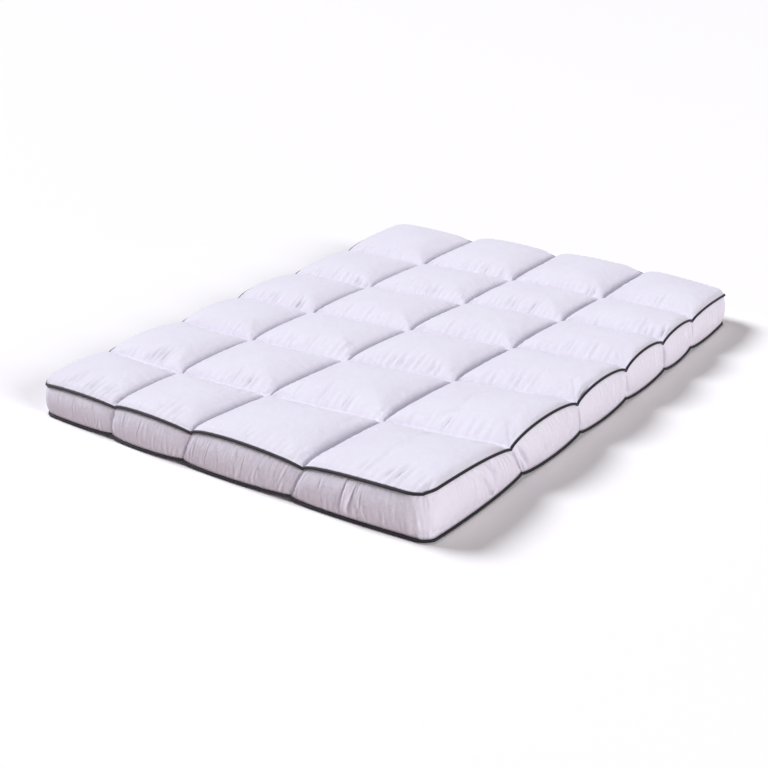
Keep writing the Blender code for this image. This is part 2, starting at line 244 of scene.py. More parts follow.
def lattice_lines(boxes, lines, crowding):
    """Lines at box + t - crowding sin(2 pi t) / (2 pi), for t in even steps: closer together at the seams."""
    step = np.arange(lines) / lines
    share = step - crowding * np.sin(2 * math.pi * step) / (2 * math.pi)
    return np.append((np.arange(boxes)[:, None] + share).ravel(), boxes)


U = lattice_lines(BOXES_ACROSS, LINES_ACROSS, CROWDING_ACROSS)[:, None]
V = lattice_lines(BOXES_ALONG, LINES_ALONG, CROWDING_ALONG)[None, :]


def box_and_share(place, boxes):
    """The box that each line is in, the whole part of its place, and how far through it, the rest."""
    box = np.minimum(np.floor(place), boxes - 1).astype(int)
    return box, place - box


def seam_places(seams, share):
    """A parabola along each seam through its three stated places, at 0, a half and 1."""
    start, middle, end = np.array([seam[1:4] for seam in seams]).T[:, :, None]
    share = share.reshape(1, -1)
    return (
        start * (1 - share) * (1 - 2 * share)
        + middle * 4 * share * (1 - share)
        + end * share * (2 * share - 1)
    )


def fullness(share, skew, power=FULLNESS):
    """(4 t (1 - t)) to a power, with t the share to another power: a rounded hump, upright on both seams."""
    turned = share**skew
    return np.maximum(4 * turned * (1 - turned), 0) ** power


BOX_U, SHARE_U = box_and_share(U, BOXES_ACROSS)
BOX_V, SHARE_V = box_and_share(V, BOXES_ALONG)
FULL_U = fullness(SHARE_U, SKEW_ACROSS)
FULL_V = fullness(SHARE_V, SKEW_ALONG)
SEAM_U = np.minimum(SHARE_U, 1 - SHARE_U)  # distance to the nearest lengthwise seam, in boxes
SEAM_V = np.minimum(SHARE_V, 1 - SHARE_V)
EDGE_U = np.minimum(U, BOXES_ACROSS - U)  # distance to the nearest side edge, in boxes
EDGE_V = np.minimum(V, BOXES_ALONG - V)
FROM_EDGE = np.minimum(EDGE_U, EDGE_V)


def edge_column(column):
    """A column of the four tables of arches on the lattice: front and back by u, left and right by v."""

    def values(arches, box):
        return np.array([getattr(arch, column) for arch in arches])[box]

    return {
        "front": values(FRONT_ARCHES, BOX_U),
        "back": values(BACK_ARCHES[::-1], BOX_U),
        "right": values(RIGHT_ARCHES, BOX_V),
        "left": values(LEFT_ARCHES[::-1], BOX_V),
    }


def fade(distance):
    """(1 - distance) squared, down to 0 at the first seam inwards."""
    return np.clip(1 - distance, 0, 1) ** 2


def round_corners(x, y, radius):
    """Presses the rhomb of that side in each corner into a quarter of a disc that is skewed as the corner is:
    with a and b counted from the disc's centre along the two edges, in radii, a becomes a sqrt(1 - b^2 / 2),
    and b likewise."""
    for at_right, at_back in ((0, 0), (1, 0), (1, 1), (0, 1)):
        corner_x, corner_y = x[-at_right, -at_back], y[-at_right, -at_back]
        beside_u, beside_v = (-1 - CORNER_STEPS if last else CORNER_STEPS for last in (at_right, at_back))
        slope_u = (y[beside_u, -at_back] - corner_y) / (x[beside_u, -at_back] - corner_x)
        slope_v = (x[-at_right, beside_v] - corner_x) / (y[-at_right, beside_v] - corner_y)
        across = 1 - np.abs(x - x[-at_right]) / radius
        along = 1 - np.abs(y - y[:, -at_back, None]) / radius
        inside = (across > 0) & (along > 0)
        shift_u = (2 * at_right - 1) * radius * across * (np.sqrt(np.maximum(1 - along**2 / 2, 0)) - 1)
        shift_v = (2 * at_back - 1) * radius * along * (np.sqrt(np.maximum(1 - across**2 / 2, 0)) - 1)
        x = np.where(inside, x + shift_u + slope_v * shift_v, x)
        y = np.where(inside, y + shift_v + slope_u * shift_u, y)
    return x, y


def plan(foot):
    """x and y on the lattice, of the top when foot is 0 and of the underside when it is 1: straight between
    the parabolas of the seams, plus the bulge of the edges, which fades out over the first box."""
    seams_x = seam_places(LENGTHWISE_SEAMS, V / BOXES_ALONG)
    seams_y = seam_places(CROSS_SEAMS, U / BOXES_ACROSS).T
    x = seams_x[BOX_U[:, 0]] * (1 - SHARE_U) + seams_x[BOX_U[:, 0] + 1] * SHARE_U
    y = seams_y[:, BOX_V[0]] * (1 - SHARE_V) + seams_y[:, BOX_V[0] + 1] * SHARE_V
    bulge = edge_column("bulge")
    y = y - bulge["front"] * FULL_U * fade(V) + bulge["back"] * FULL_U * fade(BOXES_ALONG - V)
    x = x - bulge["left"] * FULL_V * fade(U) + bulge["right"] * FULL_V * fade(BOXES_ACROSS - U)
    feet_x = np.interp(U, range(BOXES_ACROSS + 1), [seam.foot for seam in LENGTHWISE_SEAMS])
    feet_y = np.interp(V, range(BOXES_ALONG + 1), [seam.foot for seam in CROSS_SEAMS])
    x = x + foot * feet_x * fade(V)
    y = y + foot * feet_y * fade(BOXES_ACROSS - U)
    return round_corners(x, y, FOOT_CORNER_RADIUS if foot else TOP_CORNER_RADIUS)


def seam_heights(crossing, edges, corners):
    """Heights on the lattice, straight from seam to seam, from the heights where seams meet."""
    nodes = np.full((BOXES_ACROSS + 1, BOXES_ALONG + 1), crossing)
    nodes[:, 0], nodes[-1, :], nodes[:, -1], nodes[0, :] = (
        edges[side] for side in ("front", "right", "back", "left")
    )
    nodes[0, 0], nodes[-1, 0] = corners["front left"], corners["front right"]
    nodes[-1, -1], nodes[0, -1] = corners["back right"], corners["back left"]
    near = nodes[BOX_U, BOX_V] * (1 - SHARE_U) + nodes[BOX_U + 1, BOX_V] * SHARE_U
    far = nodes[BOX_U, BOX_V + 1] * (1 - SHARE_U) + nodes[BOX_U + 1, BOX_V + 1] * SHARE_U
    return near * (1 - SHARE_V) + far * SHARE_V


def lifted(full, distance_first, distance_last, first, last):
    """A fullness that starts and ends at the outer edges from the arch there, instead of from nothing."""
    full = np.where(distance_first < HALF_BOX, first + (1 - first) * full, full)
    return np.where(distance_last < HALF_BOX, last + (1 - last) * full, full)


def top_heights(crown, power=FULLNESS):
    """The level of the seams plus the crown times the fullness across and the fullness along."""
    rise = edge_column("rise")
    full_u, full_v = fullness(SHARE_U, SKEW_ACROSS, power), fullness(SHARE_V, SKEW_ALONG, power)
    across = lifted(full_u, U, BOXES_ACROSS - U, rise["left"] / crown, rise["right"] / crown)
    along = lifted(full_v, V, BOXES_ALONG - V, rise["front"] / crown, rise["back"] / crown)
    return seam_heights(CROSSING_HEIGHT, EDGE_SEAM_HEIGHTS, CORNER_HEIGHTS) + crown * across * along


def smooth(ramp):
    """3 t^2 - 2 t^3 between 0 and 1."""
    ramp = np.clip(ramp, 0, 1)
    return ramp * ramp * (3 - 2 * ramp)


def underside_heights():
    """The channel's depth along each seam, down to the flat middle of each box by a smooth step."""
    flat_u = np.where((U < HALF_BOX) | (U > BOXES_ACROSS - HALF_BOX), 1.0, smooth(SEAM_U / FLAT_MARGIN))
    flat_v = np.where((V < HALF_BOX) | (V > BOXES_ALONG - HALF_BOX), 1.0, smooth(SEAM_V / FLAT_MARGIN))
    return CHANNEL * (1 - flat_u * flat_v)


def foot_heights():
    """The bottom piping's height, drawn up at each seam by the lift that is left over by the fullness."""
    edges, corners = dict.fromkeys(EDGE_SEAM_HEIGHTS, FOOT_LIFT), dict.fromkeys(CORNER_HEIGHTS, 0.0)
    lift = seam_heights(0.0, edges, corners)
    return FOOT_HEIGHT + lift * (1 - np.maximum(FULL_U, FULL_V))


def rim_index():
    """The lattice points of the outer edge, round the topper from the front left corner."""
    last_u, last_v = U.size - 1, V.size - 1
    front = [(i, 0) for i in range(last_u)]
    right = [(last_u, j) for j in range(last_v)]
    back = [(i, last_v) for i in range(last_u, 0, -1)]
    left = [(0, j) for j in range(last_v, 0, -1)]
    return np.array(front + right + back + left).T


RIM = tuple(rim_index())


def unit(vectors):
    return vectors / np.linalg.norm(vectors, axis=-1, keepdims=True)


def seam_columns():
    """Which points of the rim have a quilting seam running into them, so not the corners."""
    return ((SEAM_U + SEAM_V == 0) & (EDGE_U + EDGE_V > 0))[RIM]


class Edge:
    """A piping's centre line round the topper, with the outward and upward directions at each point."""

    def __init__(self, x, y, z):
        self.line = np.stack([np.broadcast_to(a, (U.size, V.size))[RIM] for a in (x, y, z)], axis=1)
        ahead = unit(np.roll(self.line, -1, axis=0) - self.line)
        along = unit(ahead + np.roll(ahead, 1, axis=0))
        self.out = unit(np.stack([along[:, 1], -along[:, 0], np.zeros(len(along))], axis=1))
        self.up = np.cross(self.out, along)

    def beside(self, out, up):
        return self.line + out * self.out + up * self.up


def gusset_face(top, foot):
    """The gusset's outer face, rows from its top seam to its bottom seam: straight between the two lips, plus
    a belly of sin(pi t), deeper between the seams than at them."""
    full = np.maximum(FULL_U, FULL_V)[RIM][:, None]
    belly = GUSSET_BULGE_AT_SEAM + (GUSSET_BULGE - GUSSET_BULGE_AT_SEAM) * full
    out = unit(top.out + foot.out)
    row = np.linspace(0, 1, GUSSET_ROWS)[:, None, None]
    first, last = top.beside(LIP_OUT, -LIP_UP), foot.beside(LIP_OUT, LIP_UP)
    return first * (1 - row) + last * row + out * belly * np.sin(math.pi * row)


# ================================================================ meshes


def point_numbers(table, first=0):
    """The numbers of a table's points, counted row by row from the first one."""
    rows, columns = table.shape[:2]
    return first + np.arange(rows * columns).reshape(rows, columns)


def grid_faces(index):
    """Quads between neighbours of a table of point numbers, rows across and columns along."""
    return np.stack([index[:-1, :-1], index[1:, :-1], index[1:, 1:], index[:-1, 1:]], axis=-1).reshape(-1, 4)


def strip_faces(index):
    """Quads between rows of closed loops, from the upper row to the lower, facing away from the topper."""
    after = np.roll(index, -1, axis=1)
    return np.stack([index[:-1], index[1:], after[1:], after[:-1]], axis=-1).reshape(-1, 4)


def make_object(name, points, faces, cloth_uv=None):
    """A mesh object from points, faces in arrays of equal rows, and a place on the cloth for each point."""
    mesh = bpy.data.meshes.new(name)
    corners = np.concatenate([block.ravel() for block in faces])
    sizes = np.concatenate([np.full(len(block), block.shape[1]) for block in faces])
    starts = np.concatenate([[0], np.cumsum(sizes)[:-1]])
    mesh.vertices.add(len(points))
    mesh.vertices.foreach_set("co", points.astype(np.float32).ravel())
    mesh.loops.add(len(corners))
    mesh.loops.foreach_set("vertex_index", corners.astype(np.int32))
    mesh.polygons.add(len(sizes))
    mesh.polygons.foreach_set("loop_start", starts.astype(np.int32))
    mesh.update(calc_edges=True)
    mesh.validate()
    if cloth_uv is not None:
        layer = mesh.uv_layers.new(name="cloth")
        layer.data.foreach_set("uv", cloth_uv[corners].astype(np.float32).ravel())
    mesh.shade_smooth()
    made = bpy.data.objects.new(name, mesh)
    bpy.context.scene.collection.objects.link(made)
    return made


def closed_band(name, loops, around, up):
    """A mesh object of closed loops, the last one joined to the first, with its place on the cloth."""
    index = point_numbers(loops)
    cloth_uv = np.stack([np.broadcast_to(place, index.shape) for place in (around, up)], axis=-1)
    faces = strip_faces(np.concatenate([index, index[:1]]))
    return make_object(name, loops.reshape(-1, 3), [faces], cloth_uv.reshape(-1, 2))


def gathers(rows, sizes, first, last, random):
    """Rows of puckers along a seam, as a function of the way along it and the distance from it: height
    cos(phase) peak r (1 - r)^2, where r is the distance over the pucker's length, and phase gains a turn for
    each pucker. Width, length and height are drawn for each pucker, few of them high, and run straight from
    one to the next."""
    count = int((last - first) / sizes.pitch[0])
    low, high = sizes.height
    drawn = [
        (
            random.uniform(*sizes.pitch, count),
            random.uniform(*sizes.length, count),
            low + (high - low) * random.uniform(0, 1, count) ** PUCKER_RARITY,
        )
        for _ in range(rows)
    ]

    def height(row, way, distance):
        pitch, length, high = drawn[row]
        places = np.cumsum(pitch) + first
        wave = np.cos(2 * math.pi * np.interp(way, places, np.arange(count)))
        share = np.clip(distance / np.interp(way, places, length), 0, 1)
        return np.interp(way, places, high) * wave * PUCKER_PEAK * share * (1 - share) ** 2

    return height


def puckered(x, y):
    """The gathers beside every quilting seam and edge seam of the top, on the lattice."""
    random = np.random.default_rng(SEED)
    reach = max(np.abs(x).max(), np.abs(y).max()) + TOP_PUCKERS.pitch[1]
    beside_cross = gathers(2 * (BOXES_ALONG + 1), TOP_PUCKERS, -reach, reach, random)
    beside_lengthwise = gathers(2 * (BOXES_ACROSS + 1), TOP_PUCKERS, -reach, reach, random)
    rise = np.zeros(x.shape)
    far_share = PUCKER_SHARE_LEFT + (1 - PUCKER_SHARE_LEFT) * smooth((SHARE_U - LEFT_END) / LEFT_END_FADE)
    lines_u, lines_v = U[:, 0], V[0]
    for seam in range(BOXES_ALONG + 1):
        middle = np.flatnonzero(lines_v == seam)
        for far in (0, 1):
            near = (lines_v > seam + far - 1) & (lines_v < seam + far)
            away = np.abs(y[:, near] - y[:, middle])
            share = far_share if far else PUCKER_SHARE_NEAR
            rise[:, near] += share * beside_cross(2 * seam + far, x[:, near], away)
    for seam in range(BOXES_ACROSS + 1):
        middle = np.flatnonzero(lines_u == seam)
        for far in (0, 1):
            near = (lines_u > seam + far - 1) & (lines_u < seam + far)
            away = np.abs(x[near] - x[middle])
            rise[near] += PUCKER_SHARE_LENGTHWISE * beside_lengthwise(2 * seam + far, y[near], away)
    return rise


def creased():
    """The long creases: a trough of depth exp(-(d / width)^2), d metres across from the crease, fading out at
    its ends."""
    box_width = (LENGTHWISE_SEAMS[-1].middle - LENGTHWISE_SEAMS[0].middle) / BOXES_ACROSS
    down = np.zeros((U.size, V.size))
    for crease in LONG_CREASES:
        away = (U - np.interp(V, crease.along, crease.across)) * box_width
        start, end = crease.along[0], crease.along[-1]
        shown = smooth((V - start) / CREASE_FADE) * smooth((end - V) / CREASE_FADE)
        down += crease.depth * shown * np.exp(-((away / crease.width) ** 2))
    return down


def drawn_in():
    """How far the thread draws each quilting seam down, on its line alone, fading out at the edge seams."""
    on_seam = (SEAM_U == 0) | (SEAM_V == 0)
    return SEAM_DEPTH * on_seam * smooth(FROM_EDGE / SEAM_DEPTH_FADE)


def start_heights(x, y):
    """The top before it is blown up: boxier and lower than it ends, with its gathers and drawn-in seams."""
    inner = smooth(FROM_EDGE / START_FADE)
    crown = CROWN * SIM_START_CROWN
    boxy = top_heights(crown, SIM_START_FULLNESS)
    return top_heights(CROWN) * (1 - inner) + boxy * inner + puckered(x, y) - drawn_in()


def rounded_out(heights):
    """Each height above the level of the seams, as a share of the box's height, to a power below 1."""
    level = seam_heights(CROSSING_HEIGHT, EDGE_SEAM_HEIGHTS, CORNER_HEIGHTS)
    above = np.maximum(heights - level, 0)
    rounder = BOX_HEIGHT * (above / BOX_HEIGHT) ** BOX_POWER
    return heights + smooth(FROM_EDGE / BOX_FADE) * (rounder - above)


def spare_weights():
    """1 at the seams and 0 in the middle of a box, for the cloth's spare length."""
    return 1 - smooth(SEAM_U / SPARE_REACH) * smooth(SEAM_V / SPARE_REACH)


def blow_up(top_points, gusset_points, top, foot):
    """Lets the cotton swell, by cloth simulation under a little pressure: the cloth is longer than the seams
    that hold it, most of all near them. It is closed by a loop on the floor and a fan to its middle. Every
    quilting seam and both edge seams are held. Returns the top and the gusset's face."""
    grid = point_numbers(top_points)
    groove = top.beside(-GROOVE_DEPTH, 0.0)
    floor_loop = foot.beside(LIP_OUT, LIP_UP) * [1, 1, 0]
    loops = np.concatenate([[groove], gusset_points, [floor_loop]])
    first = grid.size
    rings = point_numbers(loops, first)
    hub = first + rings.size
    points = np.concatenate([top_points.reshape(-1, 3), loops.reshape(-1, 3), [[0.0, 0.0, 0.0]]])
    rings = np.concatenate([[grid[RIM]], rings])
    fan = np.stack([np.roll(rings[-1], -1), rings[-1], np.full(rings.shape[1], hub)], axis=1)

    held = np.zeros(len(points), bool)
    held[grid[SEAM_U[:, 0] == 0, :]] = True
    held[grid[:, SEAM_V[0] == 0]] = True
    held[rings[:3]] = True  # the top's edge, the groove and the gusset's first row
    held[rings[-2:]] = True  # its last row and the loop on the floor
    held[rings[:, seam_columns()]] = True
    held[hub] = True
    cloth = make_object("cloth_for_simulation", points, [grid_faces(grid), strip_faces(rings), fan])
    spare = np.ones(len(points))
    spare[:first] = spare_weights().ravel()
    pins = cloth.vertex_groups.new(name="held")
    pins.add(np.flatnonzero(held).tolist(), 1.0, "REPLACE")
    grown = cloth.vertex_groups.new(name="spare")
    for level in np.unique(np.round(spare, 2)):
        grown.add(np.flatnonzero(np.round(spare, 2) == level).tolist(), float(level), "REPLACE")

    modifier = cloth.modifiers.new("cloth", "CLOTH")
    settings = modifier.settings
    settings.vertex_group_mass = "held"
    settings.vertex_group_shrink = "spare"
    settings.shrink_min, settings.shrink_max = -SPARE_CLOTH[0], -SPARE_CLOTH[1]
    settings.use_pressure = True
    settings.uniform_pressure_force = SIM_PRESSURE
    settings.effector_weights.gravity = 0
    settings.quality = SIM_QUALITY
    settings.mass = SIM_MASS
    settings.tension_stiffness = settings.compression_stiffness = SIM_TENSION
    settings.shear_stiffness = SIM_SHEAR
    settings.bending_stiffness = SIM_BENDING
    settings.tension_damping = settings.compression_damping = settings.shear_damping = SIM_DAMPING
    settings.air_damping = SIM_AIR_DAMPING
    modifier.collision_settings.use_collision = False
    scene = bpy.context.scene
    modifier.point_cache.frame_start, modifier.point_cache.frame_end = 1, SIM_FRAMES
    for step in range(1, SIM_FRAMES + 1):
        scene.frame_set(step)
    shape = cloth.evaluated_get(bpy.context.evaluated_depsgraph_get()).data
    moved = np.empty(len(points) * 3, np.float32)
    shape.vertices.foreach_get("co", moved)
    move = moved.reshape(-1, 3) - points
    scene.frame_set(1)
    bpy.data.objects.remove(cloth)
    length = np.linalg.norm(move, axis=1, keepdims=True)
    move *= np.minimum(1, MOST_MOVE / np.maximum(length, 1e-9))
    top_move = move[:first].reshape(top_points.shape)
    gusset_move = move[rings[2:-1]]
    return top_points + top_move, gusset_points + gusset_move


def rim_between(start, end):
    """The lattice points from start to just before end along the rim, or start alone inside it."""
    on_rim = (start[0] == end[0] and start[0] in (0, U.size - 1)) or (
        start[1] == end[1] and start[1] in (0, V.size - 1)
    )
    if not on_rim:
        return [start]
    steps = max(abs(end[0] - start[0]), abs(end[1] - start[1]))
    step = ((end[0] - start[0]) // steps, (end[1] - start[1]) // steps)
    return [(start[0] + k * step[0], start[1] + k * step[1]) for k in range(steps)]


def build_pad(top_points, top, foot, underside_points):
    """The filled pad as one closed skin: quilted top, groove, straight side behind the gusset, groove and
    underside."""
    grid = point_numbers(top_points)
    loops = np.stack(
        [
            top.beside(-GROOVE_DEPTH, 0.0),
            top.beside(-SIDE_DEPTH, -LIP_UP),
            foot.beside(-SIDE_DEPTH, LIP_UP),
            foot.beside(-GROOVE_DEPTH, 0.0),
            foot.beside(LIP_OUT, -LIP_UP),
        ]
    )
    rings = point_numbers(loops, grid.size)
    inner_u = np.arange(UNDERSIDE_STEP, U.size - 1, UNDERSIDE_STEP)
    inner_v = np.arange(UNDERSIDE_STEP, V.size - 1, UNDERSIDE_STEP)
    inner_points = underside_points[np.ix_(inner_u, inner_v)]
    under = point_numbers(inner_points, grid.size + rings.size)
    points = np.concatenate([part.reshape(-1, 3) for part in (top_points, loops, inner_points)])
    numbers = {tuple(place): number for place, number in zip(np.array(RIM).T.tolist(), rings[-1].tolist())}
    numbers.update(
        ((i, j), under[a, b]) for a, i in enumerate(inner_u.tolist()) for b, j in enumerate(inner_v.tolist())
    )
    lines_u = [0, *inner_u.tolist(), U.size - 1]
    lines_v = [0, *inner_v.tolist(), V.size - 1]
    edge_cells = []
    for a, (left, right) in enumerate(zip(lines_u, lines_u[1:])):
        for b, (near, far) in enumerate(zip(lines_v, lines_v[1:])):
            if 0 < a < len(lines_u) - 2 and 0 < b < len(lines_v) - 2:
                continue
            corners = [(left, near), (right, near), (right, far), (left, far)]
            ring = [p for k in range(4) for p in rim_between(corners[k], corners[(k + 1) % 4])]
            edge_cells.append(np.array([[numbers[p] for p in ring[::-1]]]))
    faces = [
        grid_faces(grid),
        strip_faces(np.concatenate([[grid[RIM]], rings])),
        grid_faces(under)[:, ::-1],
        *edge_cells,
    ]
    cloth_uv = points[:, :2].copy()
    cloth_uv[rings, 0] = way_round(top.line)
    cloth_uv[rings, 1] = SIDE_ON_CLOTH + loops[..., 2]
    cloth_uv[under, 0] += UNDERSIDE_ON_CLOTH
    return make_object("quilted_pad_cotton", points, faces, cloth_uv)


def between(loops, places):
    """Catmull-Rom curves through the points of each closed loop, at places counted in points."""
    whole = np.floor(places).astype(int)
    step = (places - whole)[:, None]
    before, here, after, beyond = (loops[:, (whole + k) % loops.shape[1]] for k in (-1, 0, 1, 2))
    return here + 0.5 * step * (
        (after - before)
        + step * (2 * before - 5 * here + 4 * after - beyond)
        + step**2 * (3 * here - before - 3 * after + beyond)
    )


def way_round(line):
    """How far round the topper each point of a loop is from the first one, in metres."""
    return np.concatenate([[0], np.cumsum(np.linalg.norm(np.diff(line, axis=0), axis=1))])


def gusset_lines(seam_line):
    """Where the gusset's lines run down from its top seam, counted in points of the rim: in even steps of the
    way round, with the way beside a fold or a seam counted as many times as the lines crowd there."""
    place = np.arange(0, len(seam_line), GUSSET_PLACE_STEP)
    way = np.interp(place, np.arange(len(seam_line)), way_round(seam_line))
    beside = np.zeros(place.shape, bool)
    folds = [sorted((fold.way_top, fold.way_foot)) for fold in GUSSET_FOLDS if fold.depth > 0]
    for first, last in [*folds, *((seam, seam) for seam in way_round(seam_line)[seam_columns()])]:
        beside |= (way > first - FOLD_REACH) & (way < last + FOLD_REACH)
    counted = np.cumsum(np.diff(way, prepend=0) * np.where(beside, FOLD_CROWDING, 1))
    return np.interp(np.arange(GUSSET_LINES) * counted[-1] / GUSSET_LINES, counted, place)


def gusset_relief(way, row, full, seams):
    """How far out each point of the gusset is moved: the gathers off both pipings, less near the middle of a
    box, the crease at each seam and the folds of the table, as troughs of depth exp(-(d / width)^2)."""
    random = np.random.default_rng(SEED)
    height = CROSSING_HEIGHT  # about the height of the gusset
    gathered = gathers(2, GUSSET_PUCKERS, 0.0, way[-1] + GUSSET_PUCKERS.pitch[1], random)
    share = 1 - (1 - PUCKER_SHARE_MID_GUSSET) * full
    relief = share * (gathered(0, way, row * height) + gathered(1, way, (1 - row) * height))
    at_seams = [SEAM_CREASE._replace(way_top=place, way_foot=place) for place in seams]
    for fold in (*GUSSET_FOLDS, *at_seams):
        away = way - (fold.way_top * (1 - row) + fold.way_foot * row)
        shown = smooth((row - fold.start) / FOLD_FADE) * smooth((fold.end - row) / FOLD_FADE)
        shown = shown * np.sqrt(np.sin(math.pi * row))
        relief = relief - fold.depth * shown * np.exp(-((away / fold.width) ** 2))
    return relief * smooth(np.minimum(row, 1 - row) / LIP_FADE)


def build_gusset(gusset_points, top, foot):
    """The gusset's cotton as a closed band: its outer face with its gathers and folds, and every second row
    of the same face moved in by its thickness."""
    lines = gusset_lines(gusset_points[0])
    face = between(gusset_points, lines)
    out = unit(between(np.stack([top.out + foot.out]), lines)[0])
    at_corner = (EDGE_U < HALF_BOX) & (EDGE_V < HALF_BOX)
    full = np.where(at_corner, 1.0, np.maximum(FULL_U, FULL_V))[RIM]
    full = np.interp(lines, np.arange(len(full) + 1), np.append(full, full[0]))
    way = way_round(face[0])
    row = np.linspace(0, 1, len(face))[:, None]
    seams = np.interp(np.flatnonzero(seam_columns()), lines, way)
    outer = face + out * gusset_relief(way, row, full, seams)[..., None]
    loops = np.concatenate([outer, (outer - out * GUSSET_THICKNESS)[::-2]])
    return closed_band("gusset_cotton", loops, way, loops[..., 2])


def stitches_along(line):
    """A row of stitches along a line of points, each one a spindle with four sides."""
    way = way_round(line)
    places = np.arange(STITCH_MARGIN, way[-1] - STITCH_MARGIN, STITCH_PITCH)

    def at(place):
        return np.stack([np.interp(place, way, line[:, axis]) for axis in range(3)], axis=-1)

    middle = at(places) + [0, 0, THREAD_RADIUS]
    along = unit(at(places + STITCH / 2) - at(places - STITCH / 2))
    side = unit(np.cross([0.0, 0.0, 1.0], along))
    up = np.cross(along, side)
    ends = [middle - along * STITCH / 2, middle + along * STITCH / 2]
    ring = [middle + THREAD_RADIUS * axis for axis in (side, up, -side, -up)]
    points = np.stack(ends + ring, axis=1).reshape(-1, 3)
    sides = [(2 + k, 2 + (k + 1) % 4) for k in range(4)]
    one = [[0, right, left] for left, right in sides] + [[1, left, right] for left, right in sides]
    faces = (np.arange(len(places))[:, None, None] * len(ends + ring) + np.array(one)).reshape(-1, 3)
    return points, faces


def build_stitches(top_points):
    """The thread of the quilting seams."""
    lengthwise = [top_points[seam * LINES_ACROSS] for seam in range(1, BOXES_ACROSS)]
    across = [top_points[:, seam * LINES_ALONG] for seam in range(1, BOXES_ALONG)]
    rows = [stitches_along(line) for line in (*lengthwise, *across)]
    starts = np.cumsum([0] + [len(points) for points, _ in rows])
    faces = np.concatenate([faces + start for (_, faces), start in zip(rows, starts)])
    return make_object("quilting_stitches", np.concatenate([points for points, _ in rows]), [faces])


def build_piping(name, edge):
    """A tube of circular section round the centre line."""
    turn = 2 * math.pi * np.arange(PIPING_SIDES) / PIPING_SIDES
    loops = edge.line + PIPING_RADIUS * (
        np.cos(turn)[:, None, None] * edge.out - np.sin(turn)[:, None, None] * edge.up
    )
    return closed_band(name, loops, way_round(edge.line), (turn * PIPING_RADIUS)[:, None])


# ================================================================ materials


def linear(colour):
    """An sRGB hex colour as linear red, green, blue and alpha."""
    parts = np.array([int(colour[k : k + 2], 16) for k in (1, 3, 5)]) / 255
    low, high = parts / 12.92, ((parts + 0.055) / 1.055) ** 2.4
    return (*np.where(parts <= 0.04045, low, high).tolist(), 1.0)


def add_node(tree, kind, inputs=None, **settings):
    """Adds a node with its settings. Its inputs are numbers or colours, or the outputs that feed them."""
    made = tree.nodes.new(kind)
    for name, value in settings.items():
        setattr(made, name, value)
    for name, value in (inputs or {}).items():
        if isinstance(value, bpy.types.NodeSocket):
            tree.links.new(value, made.inputs[name])
        else:
            made.inputs[name].default_value = value
    return made


def new_material(name):
    material = bpy.data.materials.new(name)
    material.use_nodes = True
    material.node_tree.nodes.clear()
    return material, material.node_tree


def mixed(tree, factor, first, second):
    """The output of a node that goes from one colour to another by a factor."""
    colours = {"Factor": factor, "A": first, "B": second}
    return add_node(tree, "ShaderNodeMix", colours, data_type="RGBA").outputs["Result"]


def finish_material(tree, **shader_inputs):
    """Adds the shader, whose inputs are named with underscores for spaces, and the output that it feeds."""
    inputs = {name.replace("_", " "): value for name, value in shader_inputs.items()}
    shader = add_node(tree, "ShaderNodeBsdfPrincipled", inputs)
    add_node(tree, "ShaderNodeOutputMaterial", {"Surface": shader.outputs["BSDF"]})


def noise(tree, place, scale, detail, roughness=0.5):
    inputs = {"Vector": place, "Scale": scale, "Detail": detail, "Roughness": roughness}
    return add_node(tree, "ShaderNodeTexNoise", inputs).outputs["Fac"]


def bands(tree, place, pitch, direction):
    """A Wave texture whose bands lie that far apart, in metres."""
    inputs = {"Vector": place, "Scale": 2 * math.pi / (WAVE_SCALE * pitch)}
    return add_node(tree, "ShaderNodeTexWave", inputs, bands_direction=direction).outputs["Fac"]


def percale_cotton(name):
    """Closely woven white cotton, calendered: matt, a little crumpled, with a faint soft sheen, and clouded
    slightly blue by its whitener."""
    material, tree = new_material(name)
    place = add_node(tree, "ShaderNodeUVMap", uv_map="cloth").outputs["UV"]
    threads = [bands(tree, place, WEAVE_PITCH, direction) for direction in ("X", "Y")]
    weave = add_node(tree, "ShaderNodeMath", dict(enumerate(threads)), operation="MULTIPLY").outputs[0]
    cloudy = noise(tree, place, 7.0, 3.0)
    crumple = noise(tree, place, 28.0, 5.0, roughness=0.6)
    creased = add_node(tree, "ShaderNodeBump", {"Strength": 0.6, "Distance": 0.0080, "Height": crumple})
    woven = add_node(
        tree,
        "ShaderNodeBump",
        {"Strength": 0.25, "Distance": 0.0002, "Height": weave, "Normal": creased.outputs["Normal"]},
    )
    finish_material(
        tree,
        Base_Color=mixed(tree, cloudy, linear(COTTON_LIGHT), linear(COTTON_SHADE)),
        Roughness=0.82,
        Sheen_Weight=0.12,
        Sheen_Roughness=0.45,
        Normal=woven.outputs["Normal"],
    )
    return material


def twill_binding(name):
    """Charcoal cotton twill cut on the bias and drawn over a cord: matt, with fine ribs winding round it."""
    material, tree = new_material(name)
    place = add_node(tree, "ShaderNodeUVMap", uv_map="cloth").outputs["UV"]
    ribs = bands(tree, place, RIB_PITCH, "DIAGONAL")
    worn = noise(tree, place, 35.0, 3.0)
    ribbed = add_node(tree, "ShaderNodeBump", {"Strength": 0.5, "Distance": 0.0003, "Height": ribs})
    finish_material(
        tree,
        Base_Color=mixed(tree, worn, linear(BINDING_DARK), linear(BINDING_LIGHT)),
        Roughness=0.7,
        Sheen_Weight=0.1,
        Sheen_Roughness=0.5,
        Normal=ribbed.outputs["Normal"],
    )
    return material


def spun_thread(name):
    """White spun polyester sewing thread: matt, with a slight sheen."""
    material, tree = new_material(name)
    finish_material(tree, Base_Color=linear(THREAD), Roughness=0.6, Sheen_Weight=0.2, Sheen_Roughness=0.4)
    return material


